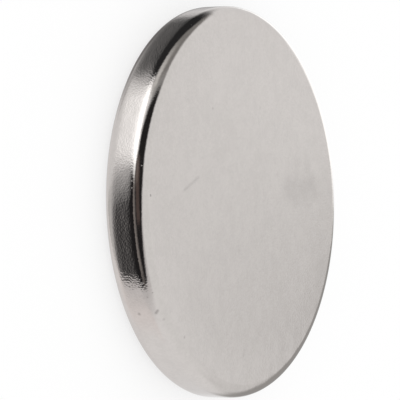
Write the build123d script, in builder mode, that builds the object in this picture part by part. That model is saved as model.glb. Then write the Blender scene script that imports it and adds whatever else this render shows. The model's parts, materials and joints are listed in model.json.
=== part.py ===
"""Disc magnet: a flat round sintered block with tumbled edges, modelled as one solid in millimetres.

The disc lies on its lower pole face. Its axis, which is also the direction of magnetisation, is +Z,
and the origin is the centre of the lower face.
"""
import os

from build123d import *

# Driving dimensions
disc_diameter = 25.0
disc_thickness = 3.0
edge_radius = 0.9

# The block is pressed and ground to a plain disc, then tumbled, which rounds both rims alike
with BuildPart() as magnet_disc:
    with BuildSketch(Plane.XY):
        Circle(disc_diameter / 2)
    extrude(amount=disc_thickness)
    rims = magnet_disc.edges().filter_by(GeomType.CIRCLE)
    fillet(rims, radius=edge_radius)

magnet_disc.part.label = "magnet_disc"

os.makedirs("parts", exist_ok=True)
export_step(magnet_disc.part, "parts/magnet_disc.step")
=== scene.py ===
"""Looks of a nickel-plated disc magnet, laid out as a Blender add-on and run as a script.

The disc is one turned mesh with tumbled edges. Its plating, with the grain of the barrel, specks and
handling marks, is all in the nodes of one material. It lies on a white table, and the bright metal
mirrors a white tent with a few dark and bright openings.
"""
import json
import math
from collections import namedtuple

import bmesh
import bpy
from bpy.props import FloatProperty, FloatVectorProperty, IntProperty, PointerProperty
from bpy.types import Operator, Panel, PropertyGroup
from mathutils import Matrix, Vector


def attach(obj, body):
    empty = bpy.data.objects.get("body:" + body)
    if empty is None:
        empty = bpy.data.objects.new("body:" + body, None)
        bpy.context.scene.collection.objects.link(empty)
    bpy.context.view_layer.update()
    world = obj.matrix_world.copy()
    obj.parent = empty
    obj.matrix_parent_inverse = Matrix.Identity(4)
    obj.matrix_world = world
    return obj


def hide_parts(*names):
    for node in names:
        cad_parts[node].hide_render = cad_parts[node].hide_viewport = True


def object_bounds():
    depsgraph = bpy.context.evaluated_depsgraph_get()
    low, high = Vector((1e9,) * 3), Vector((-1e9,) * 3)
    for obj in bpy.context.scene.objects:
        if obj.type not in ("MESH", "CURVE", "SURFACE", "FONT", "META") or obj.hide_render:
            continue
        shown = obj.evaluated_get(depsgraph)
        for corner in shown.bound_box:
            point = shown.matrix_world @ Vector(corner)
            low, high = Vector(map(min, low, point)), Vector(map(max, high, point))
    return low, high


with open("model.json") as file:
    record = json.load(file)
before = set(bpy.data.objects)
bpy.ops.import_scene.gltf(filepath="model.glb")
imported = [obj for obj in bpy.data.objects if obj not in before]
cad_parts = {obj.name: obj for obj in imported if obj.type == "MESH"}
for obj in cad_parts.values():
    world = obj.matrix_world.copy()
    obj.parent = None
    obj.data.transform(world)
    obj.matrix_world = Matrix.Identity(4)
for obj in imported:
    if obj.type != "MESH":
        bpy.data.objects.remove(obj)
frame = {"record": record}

bl_info = {
    "name": "Disc magnet",
    "version": (1, 0, 0),
    "blender": (4, 5, 0),
    "location": "View3D > Sidebar > Magnet",
    "description": "Builds a nickel-plated disc magnet and the white table that it lies on",
    "category": "Add Mesh",
}

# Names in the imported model
NODE = "magnet_disc"
BODY = "root"

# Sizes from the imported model, in metres
MM = 0.001
cad_low, cad_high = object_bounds()
rim_mount = next(mount for mount in frame["record"]["mounts"] if mount["name"] == "rim")
cad_diameter = 2 * rim_mount["dims"]["r_mm"] * MM
cad_thickness = cad_high.z - cad_low.z
cad_edge_radius = (cad_thickness - rim_mount["dims"]["length_mm"] * MM) / 2

# Rings of the mesh: on a face, just inside its seam with the edge, and on the wall as shares of its half
FACE_RINGS = 8
SEAM = 0.06 * MM
WALL_RINGS = (0.9, 0.75, 0.5, 0.0, -0.5, -0.75, -0.9)

# Sockets of the Mix node that carry colours
MIX_COLOUR_A = 6
MIX_COLOUR_B = 7
MIX_COLOUR_OUT = 2

# A patch of what the metal mirrors. Its corners, counterclockwise, are azimuth and elevation in degrees
# and the softness of the border that starts there. Azimuth 0 is the camera's side and 90 the picture's
# top, and one turn runs from AZIMUTH_LOW to AZIMUTH_HIGH. A later patch covers an earlier one.
Patch = namedtuple("Patch", "name corners light")
AZIMUTH_LOW = -100.0
AZIMUTH_HIGH = 260.0
WHITE = (1.0, 1.0, 1.0)
TENT_LIGHT = (1.0, 0.99, 0.99)
SURROUND = (
    Patch("roof", ((-200, 42, 20), (400, 42, 9), (400, 100, 9), (-200, 100, 9)),
          (0.95, 0.945, 0.94)),
    Patch("table", ((-200, -100, 9), (400, -100, 9), (400, -40, 16), (-200, -40, 9)),
          (0.97, 0.95, 0.95)),
    Patch("table before the panel", ((-20, -100, 9), (104, -100, 9), (104, -40, 14), (-20, -40, 9)),
          (0.92, 0.91, 0.91)),
    Patch("table under the dark room", ((-48, -100, 9), (14, -100, 12), (14, -40, 16), (-48, -40, 9)),
          (0.67, 0.66, 0.65)),
    Patch("table under the doorway", ((80, -62, 8), (150, -62, 5), (150, -36, 8), (80, -36, 8)),
          (0.62, 0.61, 0.61)),
    Patch("pinkish side of the tent", ((-78, -56, 12), (-40, -56, 9), (-40, -4, 12), (-78, -4, 12)),
          (0.955, 0.905, 0.895)),
    Patch("shadow beyond the doorway", ((120, -58, 9), (140, -58, 5), (180, -44, 5), (180, -26, 4),
                                        (140, -34, 8), (120, -40, 8)),
          (0.33, 0.32, 0.32)),
    Patch("dim side of the dark room", ((-60, -40, 16), (0, -40, 9), (0, 76, 9), (-60, 52, 11)),
          (0.72, 0.70, 0.70)),
    Patch("dark room behind the camera", ((-46, -42.5, 17), (5, -42.5, 18), (24, -24, 5),
                                          (24, 70, 9), (0, 70, 7), (-26, 57, 9), (-46, 37, 2)),
          (0.020, 0.019, 0.020)),
    Patch("pale strip across the dark room", ((-42, -2, 3), (19, -2, 3), (19, 10, 9), (-42, 16, 12)),
          (0.27, 0.246, 0.232)),
    Patch("dark curtain over the panel", ((17, 16, 8), (42, 18, 9), (112, 57, 9), (98, 62, 9),
                                          (62, 70, 9), (17, 72, 6)),
          (0.022, 0.021, 0.021)),
    Patch("rust-coloured screen", ((-12, 24, 5), (25, 18, 6), (24, 42, 6), (-12, 50, 5)),
          (0.104, 0.077, 0.069)),
    Patch("glow at the end of the screen", ((11, 14, 6), (26, 14, 5), (26, 33, 6), (13, 33, 6)),
          (0.20, 0.165, 0.15)),
    Patch("grey wall beside the panel", ((68, 4, 6), (133, -4, 5), (133, 14, 6), (127, 33, 9),
                                         (104, 55, 9), (64, 30, 6)),
          (0.28, 0.27, 0.26)),
    Patch("lit end of the wall", ((65, 8, 5), (89, 6, 15), (97, 28, 8), (70, 29, 5)),
          (0.74, 0.73, 0.71)),
    Patch("dark doorway", ((86, -40, 16), (146, -40, 8), (131, 3, 6), (120, 14, 6), (98, 11, 5),
                           (72, 4, 4), (72, -24, 8)),
          (0.028, 0.028, 0.029)),
    Patch("bright panel", ((27, -28, 12), (68, -28, 6), (67, 3, 4), (58, 12, 5), (30, 13, 7), (15, 6, 8)),
          (1.9, 1.9, 1.9)),
    Patch("dim wall above the post", ((186, 0, 5), (228, 0, 8), (228, 36, 8), (186, 36, 5)),
          (0.87, 0.86, 0.855)),
    Patch("grey post beyond the disc", ((180, -24, 8), (218, -24, 8), (222, 0, 8), (211, 12, 3),
                                        (188, 26.2, 3), (180, 30.3, 2.5)),
          (0.455, 0.445, 0.435)),
    Patch("bright window beyond the disc", ((152, -20, 6), (180, -20, 2.5), (180, 28.6, 4), (177, 27, 4),
                                            (163, 0, 5)),
          (1.75, 1.75, 1.75)),
)

# Place of a mark: a bearing in degrees, with a radius on the upper face, the slope of the normal on the
# upper edge, in degrees, or a height on the wall. Lengths of marks are in millimetres.
OnFace = namedtuple("OnFace", "bearing radius")
OnEdge = namedtuple("OnEdge", "bearing slope")
OnWall = namedtuple("OnWall", "bearing height")

# A speck in the plating: its place and reach, how much it darkens the metal and how dull it is
Speck = namedtuple("Speck", "place reach dark dull")
SPECKS = (
    Speck(OnFace(79.5, 11.5), 0.13, 0.50, 0.2),
    Speck(OnFace(129, 11.4), 0.16, 0.16, 0.1),
    Speck(OnFace(169, 9.8), 0.20, 0.08, 0.0),
    Speck(OnFace(24.5, 7.0), 0.18, 0.11, 0.0),
    Speck(OnFace(331.5, 6.4), 0.24, 0.05, 0.0),
    Speck(OnFace(77, 4.1), 0.22, 0.06, 0.0),
    Speck(OnFace(158, 3.2), 0.24, 0.06, 0.0),
    Speck(OnFace(117, 6.3), 0.20, 0.05, 0.0),
    Speck(OnFace(38.5, 9.3), 0.20, 0.05, 0.0),
    Speck(OnWall(115, 1.4), 0.18, 0.30, 0.1),
    Speck(OnEdge(118, 50), 0.16, 0.14, 0.1),
    Speck(OnEdge(108.5, 42), 0.08, 0.25, 0.2),
    Speck(OnEdge(109.5, 17), 0.08, 0.20, 0.2),
    Speck(OnEdge(71, 44), 0.07, 0.00, 0.8),
    Speck(OnEdge(75.5, 9), 0.06, 0.00, 0.7),
    Speck(OnEdge(77.5, 10), 0.06, 0.00, 0.7),
    Speck(OnEdge(18, 29), 0.08, 0.30, 0.3),
)

# A scratch or a smear from one place to another
Scratch = namedtuple("Scratch", "start end reach dark dull")
SCRATCHES = (
    Scratch(OnEdge(115, 31), OnEdge(114.5, 39), 0.16, 0.34, 0.1),
    Scratch(OnFace(76, 7.5), OnFace(66.5, 5.9), 0.18, 0.11, 0.0),
    Scratch(OnWall(100.5, 1.4), OnWall(97.5, 2.0), 0.07, 0.10, 0.1),
)
SMEARS = (
    Scratch(OnFace(268.5, 7.5), OnFace(268, 9.0), 1.20, 0.11, 0.0),
    Scratch(OnFace(269.5, 5.9), OnFace(267, 9.0), 1.50, 0.09, 0.0),
    Scratch(OnFace(271, 8.1), OnFace(278, 8.5), 0.90, 0.04, 0.0),
    Scratch(OnFace(263, 6.8), OnFace(263, 8.5), 0.90, 0.05, 0.0),
    Scratch(OnFace(283.5, 7.2), OnFace(281, 7.5), 0.80, 0.03, 0.0),
)

# Share of a mark's reach that is as dark as its middle, what the darkest mark would leave of the colour,
# and how smears stray from their lines
MARK_CORE = 0.1
MARK_SHADE = 0.05
STRAY_SCALE = 0.8
STRAY = 0.6

# Zones of the plating: border of the face and fading of the wall's grain, as shares of the edge radius,
# and the ring inside the border, in millimetres, that grows glossier outwards
FACE_BORDER = 0.3
WALL_FADE = 0.5
GLOSSY_RING = 3.5

# Grain on the edges and faces and swell on the faces, beside the wall's
EDGE_GRAIN = 0.4
FACE_GRAIN = 0.28
FACE_SWELL = 0.3

# Smoothness of the pebbles, and the mean heights of pebbles and noise, which are taken off
PEBBLE_SMOOTHNESS = 0.4
PEBBLE_MEAN = 0.4
NOISE_MEAN = 0.5

# Where noise starts and stops to count, and what it then does to the grain's depth and to the roughness
NOISE_SPAN = (0.3, 0.7)
UNEVEN_SCALE = 0.5
UNEVEN = (0.6, 1.3)
HAZE_SCALE = 1.6
HAZE = (-0.015, 0.03)

# Patches of three sizes in the mottling: scale of the noise and share, and where their sum counts
MOTTLE_SIZES = ((5.0, 0.45), (1.2, 0.35), (0.25, 0.2))
MOTTLE_SPAN = (0.35, 0.65)


class DiscSizes(PropertyGroup):
    """Sizes of the disc."""

    diameter: FloatProperty(
        name="Diameter", description="Across the rim", default=cad_diameter, unit="LENGTH", precision=4)
    thickness: FloatProperty(
        name="Thickness", description="From pole face to pole face", default=cad_thickness,
        unit="LENGTH", precision=4)
    edge_radius: FloatProperty(
        name="Edge radius", description="Radius that tumbling gives both rims", default=cad_edge_radius,
        unit="LENGTH", precision=4)
    wall_bow: FloatProperty(
        name="Wall bow", description="Turn of the wall's shading where it blends into the edges",
        default=math.radians(2.6), subtype="ANGLE", unit="ROTATION")
    segments: IntProperty(
        name="Segments", description="Steps round the rim", default=384, min=48)
    edge_steps: IntProperty(
        name="Edge steps", description="Steps across each rounded edge", default=24, min=6)


class PlatingLooks(PropertyGroup):
    """Colour and surface of the nickel plating."""

    colour: FloatVectorProperty(
        name="Nickel", description="Colour of the clean plating", default=(0.604, 0.577, 0.557),
        subtype="COLOR", size=3, min=0, max=1)
    roughness: FloatProperty(
        name="Roughness", description="Gloss of the burnished rim", default=0.05, subtype="FACTOR",
        min=0, max=1)
    face_roughness: FloatProperty(
        name="Face roughness", description="Gloss of the ground faces", default=0.13, subtype="FACTOR",
        min=0, max=1)
    grazing: FloatProperty(
        name="Grazing", description="How far nickel dims towards grazing light, before it brightens",
        default=0.85, subtype="FACTOR", min=0, max=1)
    mottle: FloatProperty(
        name="Mottle", description="How far patches of the plating are darker or paler", default=0.03,
        subtype="FACTOR", min=0, max=1)
    grain_size: FloatProperty(
        name="Grain size", description="Width of one pebble of the barrel grain", default=0.11 * MM,
        unit="LENGTH", precision=6)
    grain_depth: FloatProperty(
        name="Grain depth", description="Height of the barrel grain on the wall", default=0.0043 * MM,
        unit="LENGTH", precision=6)
    swell_size: FloatProperty(
        name="Swell size", description="Width of the slow waves in the surface", default=1.2 * MM,
        unit="LENGTH", precision=6)
    swell_depth: FloatProperty(
        name="Swell depth", description="Height of the slow waves in the surface", default=0.012 * MM,
        unit="LENGTH", precision=6)


class StageSettings(PropertyGroup):
    """Camera and table."""

    azimuth: FloatProperty(
        name="Azimuth", description="Camera's bearing round the disc, 0 looking along +Y",
        default=math.radians(172), subtype="ANGLE", unit="ROTATION")
    elevation: FloatProperty(
        name="Elevation", description="Camera's height above the disc's plane",
        default=math.radians(30.706), subtype="ANGLE", unit="ROTATION")
    roll: FloatProperty(
        name="Roll", description="Turn of the camera about its line of sight, from lying on its side",
        default=math.radians(-1.103), subtype="ANGLE", unit="ROTATION")
    distance: FloatProperty(
        name="Distance", description="From the camera to the middle of the disc, along its line of sight",
        default=255.82 * MM, unit="LENGTH", precision=4)
    offset_right: FloatProperty(
        name="Offset right", description="Disc's middle, right of the picture's middle",
        default=1.556 * MM, unit="LENGTH", precision=6)
    offset_down: FloatProperty(
        name="Offset down", description="Disc's middle, below the picture's middle",
        default=0.128 * MM, unit="LENGTH", precision=6)
    lens: FloatProperty(
        name="Lens", description="Focal length of the camera", default=360.0, unit="CAMERA")
    sensor: FloatProperty(
        name="Sensor", description="Width of the camera's sensor", default=36.0, unit="CAMERA")
    table_size: FloatProperty(
        name="Table", description="Side of the white table", default=6.0, unit="LENGTH")
    table_colour: FloatVectorProperty(
        name="Table colour", description="Colour of the white table", default=(1.0, 1.0, 1.0),
        subtype="COLOR", size=3, min=0, max=1)
    table_glow: FloatProperty(
        name="Table glow", description="Share of the table's white that no shadow dims", default=0.7,
        subtype="FACTOR", min=0, max=1)


class Nodes:
    """A node tree that is built up from short calls. A value may be a number, a tuple or a socket."""

    def __init__(self, tree):
        self.tree = tree
        tree.nodes.clear()

    def add(self, kind, **settings):
        node = self.tree.nodes.new(kind)
        for name, value in settings.items():
            setattr(node, name, value)
        return node

    def put(self, value, socket):
        if isinstance(value, bpy.types.NodeSocket):
            self.tree.links.new(value, socket)
        else:
            socket.default_value = value

    def maths(self, operation, *values):
        node = self.add("ShaderNodeMath", operation=operation)
        for value, socket in zip(values, node.inputs):
            self.put(value, socket)
        return node.outputs[0]

    def vectors(self, operation, *values):
        node = self.add("ShaderNodeVectorMath", operation=operation)
        for value, socket in zip(values, node.inputs):
            self.put(value, socket)
        return next(output for output in node.outputs if output.enabled)

    def scaled(self, vector, factor):
        node = self.add("ShaderNodeVectorMath", operation="SCALE")
        self.put(vector, node.inputs["Vector"])
        self.put(factor, node.inputs["Scale"])
        return node.outputs["Vector"]

    def ramp(self, value, start, end, before=0.0, after=1.0):
        """Goes smoothly from before to after as the value goes from start to end."""
        node = self.add("ShaderNodeMapRange", interpolation_type="SMOOTHSTEP")
        for name, number in zip(("Value", "From Min", "From Max", "To Min", "To Max"),
                                (value, start, end, before, after)):
            self.put(number, node.inputs[name])
        return node.outputs["Result"]

    def mixed(self, share, first, second):
        """A colour between two others."""
        node = self.add("ShaderNodeMix", data_type="RGBA")
        self.put(share, node.inputs["Factor"])
        self.put(first, node.inputs[MIX_COLOUR_A])
        self.put(second, node.inputs[MIX_COLOUR_B])
        return node.outputs[MIX_COLOUR_OUT]

    def noise(self, place, scale, detail=2.0, roughness=0.5):
        node = self.add("ShaderNodeTexNoise")
        self.put(place, node.inputs["Vector"])
        self.put(scale, node.inputs["Scale"])
        self.put(detail, node.inputs["Detail"])
        self.put(roughness, node.inputs["Roughness"])
        return node.outputs[0]

    def noise_colour(self, place, scale):
        node = self.add("ShaderNodeTexNoise")
        self.put(place, node.inputs["Vector"])
        self.put(scale, node.inputs["Scale"])
        return node.outputs["Color"]

    def pebbles(self, place, scale):
        node = self.add("ShaderNodeTexVoronoi", feature="SMOOTH_F1")
        self.put(place, node.inputs["Vector"])
        self.put(scale, node.inputs["Scale"])
        self.put(PEBBLE_SMOOTHNESS, node.inputs["Smoothness"])
        return node.outputs["Distance"]

    def off_line(self, place, start, end):
        """Distance from the line between two places."""
        along = end - start
        from_start = self.vectors("SUBTRACT", place, start)
        share = self.maths("DIVIDE", self.vectors("DOT_PRODUCT", from_start, along), along.length_squared)
        share.node.use_clamp = True
        return self.vectors("DISTANCE", from_start, self.scaled(along, share))

    def bump(self, height, depth, normal=None):
        node = self.add("ShaderNodeBump")
        self.put(depth, node.inputs["Distance"])
        self.put(height, node.inputs["Height"])
        if normal is not None:
            self.put(normal, node.inputs["Normal"])
        return node.outputs["Normal"]


def opaque(colour):
    """A colour with full alpha, as colour sockets take it."""
    return (*colour, 1.0)


def on_disc(disc, spot):
    """Where a mark lies on the disc, in millimetres."""
    edge = disc.edge_radius / MM
    rim = disc.diameter / MM / 2
    top = disc.thickness / MM
    if isinstance(spot, OnFace):
        radius = spot.radius
        height = top
    elif isinstance(spot, OnEdge):
        slope = math.radians(spot.slope)
        radius = rim - edge + edge * math.cos(slope)
        height = top - edge + edge * math.sin(slope)
    else:
        radius = rim
        height = spot.height
    turn = math.radians(spot.bearing)
    return Vector((radius * math.cos(turn), radius * math.sin(turn), height))


def marks(nodes, disc, place):
    """How much the marks darken and dull each place."""
    stray = nodes.vectors("SUBTRACT", nodes.noise_colour(place, STRAY_SCALE), [NOISE_MEAN] * 3)
    ragged = nodes.vectors("ADD", place, nodes.scaled(stray, STRAY))
    spread = [(nodes.vectors("DISTANCE", place, on_disc(disc, speck.place)), speck) for speck in SPECKS]
    for lines, along in ((SCRATCHES, place), (SMEARS, ragged)):
        spread += [(nodes.off_line(along, on_disc(disc, line.start), on_disc(disc, line.end)), line)
                   for line in lines]
    dark = dull = 0.0
    for distance, mark in spread:
        mask = nodes.ramp(distance, MARK_CORE * mark.reach, mark.reach, 1.0, 0.0)
        dark = nodes.maths("MAXIMUM", dark, nodes.maths("MULTIPLY", mask, mark.dark))
        dull = nodes.maths("MAXIMUM", dull, nodes.maths("MULTIPLY", mask, mark.dull))
    return dark, dull


def nickel_plating(disc, plating):
    """Bright barrel-plated nickel: pebbled on the wall, burnished on the edges, finer on the faces."""
    material = bpy.data.materials.new("nickel plating")
    material.use_nodes = True
    nodes = Nodes(material.node_tree)
    output = nodes.add("ShaderNodeOutputMaterial")
    metal = nodes.add("ShaderNodeBsdfPrincipled")
    nodes.put(metal.outputs["BSDF"], output.inputs["Surface"])

    # Place on the disc, in millimetres
    place = nodes.scaled(nodes.add("ShaderNodeTexCoord").outputs["Object"], 1 / MM)
    flat = nodes.vectors("MULTIPLY", place, (1.0, 1.0, 0.0))
    radius = nodes.vectors("LENGTH", flat)

    # The flat of either face, its middle that stays dull, and the straight wall of the rim
    edge = disc.edge_radius / MM
    flat_radius = disc.diameter / MM / 2 - edge
    face = nodes.ramp(radius, flat_radius - FACE_BORDER * edge, flat_radius + FACE_BORDER * edge, 1.0, 0.0)
    middle = nodes.ramp(radius, flat_radius - GLOSSY_RING, flat_radius, 1.0, 0.0)
    parts = nodes.add("ShaderNodeSeparateXYZ")
    nodes.put(place, parts.inputs[0])
    half = disc.thickness / MM / 2
    from_middle = nodes.maths("ABSOLUTE", nodes.maths("SUBTRACT", parts.outputs["Z"], half))
    wall = nodes.ramp(from_middle, half - edge, half - edge + WALL_FADE * edge, 1.0, 0.0)

    # Pebbles of the barrel grain and a slow swell, both about a mean of nought
    uneven = nodes.ramp(nodes.noise(place, UNEVEN_SCALE), *NOISE_SPAN, *UNEVEN)
    off_wall = nodes.ramp(face, 0.0, 1.0, EDGE_GRAIN, FACE_GRAIN)
    by_zone = nodes.maths("MULTIPLY_ADD", wall, 1 - EDGE_GRAIN, off_wall)
    grain_share = nodes.maths("MULTIPLY", by_zone, uneven)
    pebbles = nodes.maths("SUBTRACT", nodes.pebbles(place, MM / plating.grain_size), PEBBLE_MEAN)
    waves = nodes.noise(place, MM / plating.swell_size, detail=1.0, roughness=0.4)
    swell = nodes.maths("SUBTRACT", waves, NOISE_MEAN)
    swell_share = nodes.ramp(face, 0.0, 1.0, 1.0, FACE_SWELL)
    waved = nodes.bump(nodes.maths("MULTIPLY", swell, swell_share), plating.swell_depth)
    normal = nodes.bump(nodes.maths("MULTIPLY", pebbles, grain_share), plating.grain_depth, waved)
    nodes.put(normal, metal.inputs["Normal"])

    # Colour: a mottling in patches of three sizes, then the marks
    mottle = 0.0
    for scale, share in MOTTLE_SIZES:
        patches = nodes.noise(place, scale, detail=1.0, roughness=0.6)
        mottle = nodes.maths("ADD", mottle, nodes.maths("MULTIPLY", patches, share))
    colour = nodes.mixed(
        nodes.ramp(mottle, *MOTTLE_SPAN),
        opaque([(1 - plating.mottle) * part for part in plating.colour]),
        opaque([(1 + plating.mottle) * part for part in plating.colour]))
    dark, dull = marks(nodes, disc, place)
    nodes.put(nodes.mixed(dark, colour, opaque([MARK_SHADE * part for part in plating.colour])),
              metal.inputs["Base Color"])

    # Gloss, with a faint haze
    gloss = nodes.ramp(middle, 0.0, 1.0, plating.roughness, plating.face_roughness)
    clouds = nodes.noise(place, HAZE_SCALE, detail=3.0, roughness=0.6)
    haze = nodes.ramp(clouds, *NOISE_SPAN, *HAZE)
    nodes.put(nodes.maths("ADD", nodes.maths("ADD", gloss, haze), dull), metal.inputs["Roughness"])
    metal.inputs["Metallic"].default_value = 1.0
    metal.inputs["Specular Tint"].default_value = opaque([plating.grazing] * 3)
    return material


def disc_profile(disc):
    """Radius, height and slope of the normal along the section, from the upper centre to the lower."""
    rim = disc.diameter / 2
    edge = disc.edge_radius
    flat_radius = rim - edge
    face_radii = [flat_radius * step / FACE_RINGS for step in range(FACE_RINGS)] + [flat_radius - SEAM]
    quarter = [math.pi / 2 * (1 - step / disc.edge_steps) for step in range(disc.edge_steps + 1)]
    wall_half = disc.thickness / 2 - edge
    upper = [(radius, disc.thickness, math.pi / 2) for radius in face_radii]
    upper += [(flat_radius + edge * math.cos(tilt), disc.thickness - edge + edge * math.sin(tilt),
               max(tilt, disc.wall_bow + tilt / 2)) for tilt in quarter]
    wall = [(rim, disc.thickness / 2 + wall_half * share, disc.wall_bow * share ** 3 * abs(share))
            for share in WALL_RINGS]
    lower = [(radius, disc.thickness - height, -tilt) for radius, height, tilt in reversed(upper)]
    return upper + wall + lower


def turned_mesh(name, profile, segments):
    """A closed mesh turned about +Z from a section with both ends on the axis, shaded by its slopes."""
    mesh = bpy.data.meshes.new(name)
    form = bmesh.new()
    normals = []
    rings = []
    for radius, height, tilt in profile:
        ring = []
        outward = math.cos(tilt)
        for step in range(segments if radius > 0 else 1):
            turn = 2 * math.pi * step / segments
            ring.append(form.verts.new((radius * math.cos(turn), radius * math.sin(turn), height)))
            normals.append((outward * math.cos(turn), outward * math.sin(turn), math.sin(tilt)))
        rings.append(ring)
    for above, below in zip(rings, rings[1:]):
        for step in range(segments):
            after = (step + 1) % segments
            if len(above) == 1:
                corners = (above[0], below[step], below[after])
            elif len(below) == 1:
                corners = (above[after], above[step], below[0])
            else:
                corners = (above[after], above[step], below[step], below[after])
            form.faces.new(corners).smooth = True
    form.to_mesh(mesh)
    form.free()
    mesh.normals_split_custom_set_from_vertices(normals)
    return mesh


def camera_axes(stage):
    """Bearing to the camera, then the picture's right, its up and the way back to the camera."""
    to_camera = Vector((math.sin(stage.azimuth), -math.cos(stage.azimuth), 0.0))
    back = to_camera * math.cos(stage.elevation) + Vector((0, 0, math.sin(stage.elevation)))
    tilted_up = (Vector((0, 0, 1)) - back * math.sin(stage.elevation)) / math.cos(stage.elevation)
    across = back.cross(tilted_up)
    right = tilted_up * math.cos(stage.roll) + across * math.sin(stage.roll)
    up = across * math.cos(stage.roll) - tilted_up * math.sin(stage.roll)
    return to_camera, right, up, back


def photo_camera(stage, middle):
    """The camera, lying on its side, with the disc's middle where the picture has it."""
    right, up, back = camera_axes(stage)[1:]
    data = bpy.data.cameras.new("photo camera")
    data.lens = stage.lens
    data.sensor_width = stage.sensor
    camera = bpy.data.objects.new("photo camera", data)
    bpy.context.scene.collection.objects.link(camera)
    place = middle - right * stage.offset_right + up * stage.offset_down + back * stage.distance
    turn = Matrix((right, up, back)).transposed()
    camera.matrix_world = Matrix.Translation(place) @ turn.to_4x4()
    bpy.context.scene.camera = camera


def patch_mask(nodes, bearing, patch):
    """1 inside a convex patch of directions and 0 outside it, with a soft border."""
    mask = 1.0
    for start, end in zip(patch.corners, patch.corners[1:] + patch.corners[:1]):
        along = (Vector(end[:2]) - Vector(start[:2])).normalized()
        inward = Vector((-along.y, along.x))
        line = (inward.x, inward.y, -inward.dot(Vector(start[:2])))
        inside = nodes.vectors("DOT_PRODUCT", bearing, line)
        mask = nodes.maths("MULTIPLY", mask, nodes.ramp(inside, -start[2], start[2]))
    return mask


def white_tent(stage):
    """The world: plain white light, and for the metal's reflections the tent with its openings."""
    world = bpy.data.worlds.new("white tent")
    world.use_nodes = True
    bpy.context.scene.world = world
    nodes = Nodes(world.node_tree)
    to_camera = camera_axes(stage)[0]
    picture_up = to_camera.cross(Vector((0, 0, 1)))
    ray = nodes.add("ShaderNodeTexCoord").outputs["Generated"]
    azimuth = nodes.maths("ARCTAN2", nodes.vectors("DOT_PRODUCT", ray, picture_up),
                          nodes.vectors("DOT_PRODUCT", ray, to_camera))
    elevation = nodes.maths("ARCSINE", nodes.vectors("DOT_PRODUCT", ray, (0.0, 0.0, 1.0)))
    wrapped = nodes.maths("WRAP", nodes.maths("DEGREES", azimuth), AZIMUTH_HIGH, AZIMUTH_LOW)
    bearing = nodes.add("ShaderNodeCombineXYZ")
    nodes.put(wrapped, bearing.inputs["X"])
    nodes.put(nodes.maths("DEGREES", elevation), bearing.inputs["Y"])
    nodes.put(1.0, bearing.inputs["Z"])
    mirrored = opaque(TENT_LIGHT)
    for patch in SURROUND:
        mirrored = nodes.mixed(patch_mask(nodes, bearing.outputs[0], patch), mirrored, opaque(patch.light))
    light = nodes.mixed(nodes.add("ShaderNodeLightPath").outputs["Is Glossy Ray"], opaque(WHITE), mirrored)
    background = nodes.add("ShaderNodeBackground")
    nodes.put(light, background.inputs["Color"])
    output = nodes.add("ShaderNodeOutputWorld")
    nodes.put(background.outputs[0], output.inputs["Surface"])


def white_table(stage):
    """The table: it takes the disc's soft shadow, and the metal mirrors the tent in its place."""
    mesh = bpy.data.meshes.new("table")
    half = stage.table_size / 2
    corners = [(-half, -half), (half, -half), (half, half), (-half, half)]
    mesh.from_pydata([(x, y, cad_low.z) for x, y in corners], [], [(0, 1, 2, 3)])
    table = bpy.data.objects.new("table", mesh)
    bpy.context.scene.collection.objects.link(table)
    material = bpy.data.materials.new("white table")
    material.use_nodes = True
    nodes = Nodes(material.node_tree)
    paper = nodes.add("ShaderNodeBsdfDiffuse")
    nodes.put(opaque(stage.table_colour), paper.inputs["Color"])
    glow = nodes.add("ShaderNodeEmission")
    nodes.put(opaque(stage.table_colour), glow.inputs["Color"])
    both = nodes.add("ShaderNodeMixShader")
    camera_ray = nodes.add("ShaderNodeLightPath").outputs["Is Camera Ray"]
    nodes.put(nodes.maths("MULTIPLY", camera_ray, stage.table_glow), both.inputs["Fac"])
    nodes.put(paper.outputs[0], both.inputs[1])
    nodes.put(glow.outputs[0], both.inputs[2])
    output = nodes.add("ShaderNodeOutputMaterial")
    nodes.put(both.outputs[0], output.inputs["Surface"])
    mesh.materials.append(material)
    table.visible_glossy = False


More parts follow.
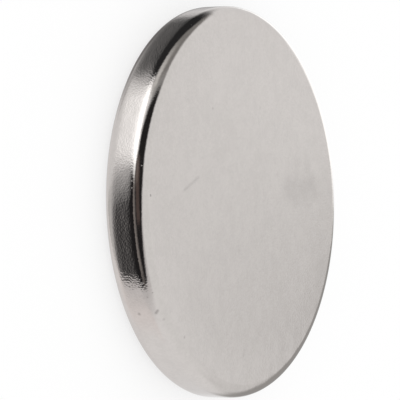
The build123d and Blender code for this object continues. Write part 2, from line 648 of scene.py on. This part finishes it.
class MAGNET_OT_plated_disc(Operator):
    """Turn the disc and plate it with nickel"""

    bl_idname = "magnet.plated_disc"
    bl_label = "Plated disc"
    bl_options = {"REGISTER", "UNDO"}

    def execute(self, context):
        settings = context.scene.magnet
        mesh = turned_mesh("plated_disc", disc_profile(settings.disc), settings.disc.segments)
        piece = bpy.data.objects.new("plated_disc", mesh)
        context.scene.collection.objects.link(piece)
        mesh.materials.append(nickel_plating(settings.disc, settings.plating))
        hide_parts(NODE)
        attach(piece, BODY)
        return {"FINISHED"}


class MAGNET_OT_stage(Operator):
    """Lay the white table, light it and set up the camera"""

    bl_idname = "magnet.stage"
    bl_label = "Stage"
    bl_options = {"REGISTER", "UNDO"}

    def execute(self, context):
        settings = context.scene.magnet
        thickness = settings.disc.thickness
        context.scene.view_settings.view_transform = "Standard"
        white_tent(settings.stage)
        white_table(settings.stage)
        photo_camera(settings.stage, Vector((0, 0, thickness / 2)))
        return {"FINISHED"}


class MagnetSettings(PropertyGroup):
    """All settings of the disc magnet."""

    disc: PointerProperty(type=DiscSizes, name="Disc", description="Sizes of the disc")
    plating: PointerProperty(type=PlatingLooks, name="Plating", description="Looks of the nickel plating")
    stage: PointerProperty(type=StageSettings, name="Stage", description="Camera and table")


class MAGNET_PT_build(Panel):
    """Settings and steps of the disc magnet"""

    bl_idname = "MAGNET_PT_build"
    bl_label = "Disc magnet"
    bl_space_type = "VIEW_3D"
    bl_region_type = "UI"
    bl_category = "Magnet"

    def draw(self, context):
        settings = context.scene.magnet
        groups = ((settings.disc, (MAGNET_OT_plated_disc,)), (settings.plating, ()),
                  (settings.stage, (MAGNET_OT_stage,)))
        for group, operators in groups:
            box = self.layout.box()
            for name in group.bl_rna.properties.keys():
                if name not in ("rna_type", "name"):
                    box.prop(group, name)
            for operator in operators:
                box.operator(operator.bl_idname)


CLASSES = (DiscSizes, PlatingLooks, StageSettings, MagnetSettings,
           MAGNET_OT_plated_disc, MAGNET_OT_stage, MAGNET_PT_build)


def register():
    for kind in CLASSES:
        bpy.utils.register_class(kind)
    bpy.types.Scene.magnet = PointerProperty(type=MagnetSettings)


def unregister():
    del bpy.types.Scene.magnet
    for kind in reversed(CLASSES):
        bpy.utils.unregister_class(kind)


def main():
    register()
    bpy.ops.magnet.plated_disc()
    bpy.ops.magnet.stage()


if __name__ == "__main__":
    main()
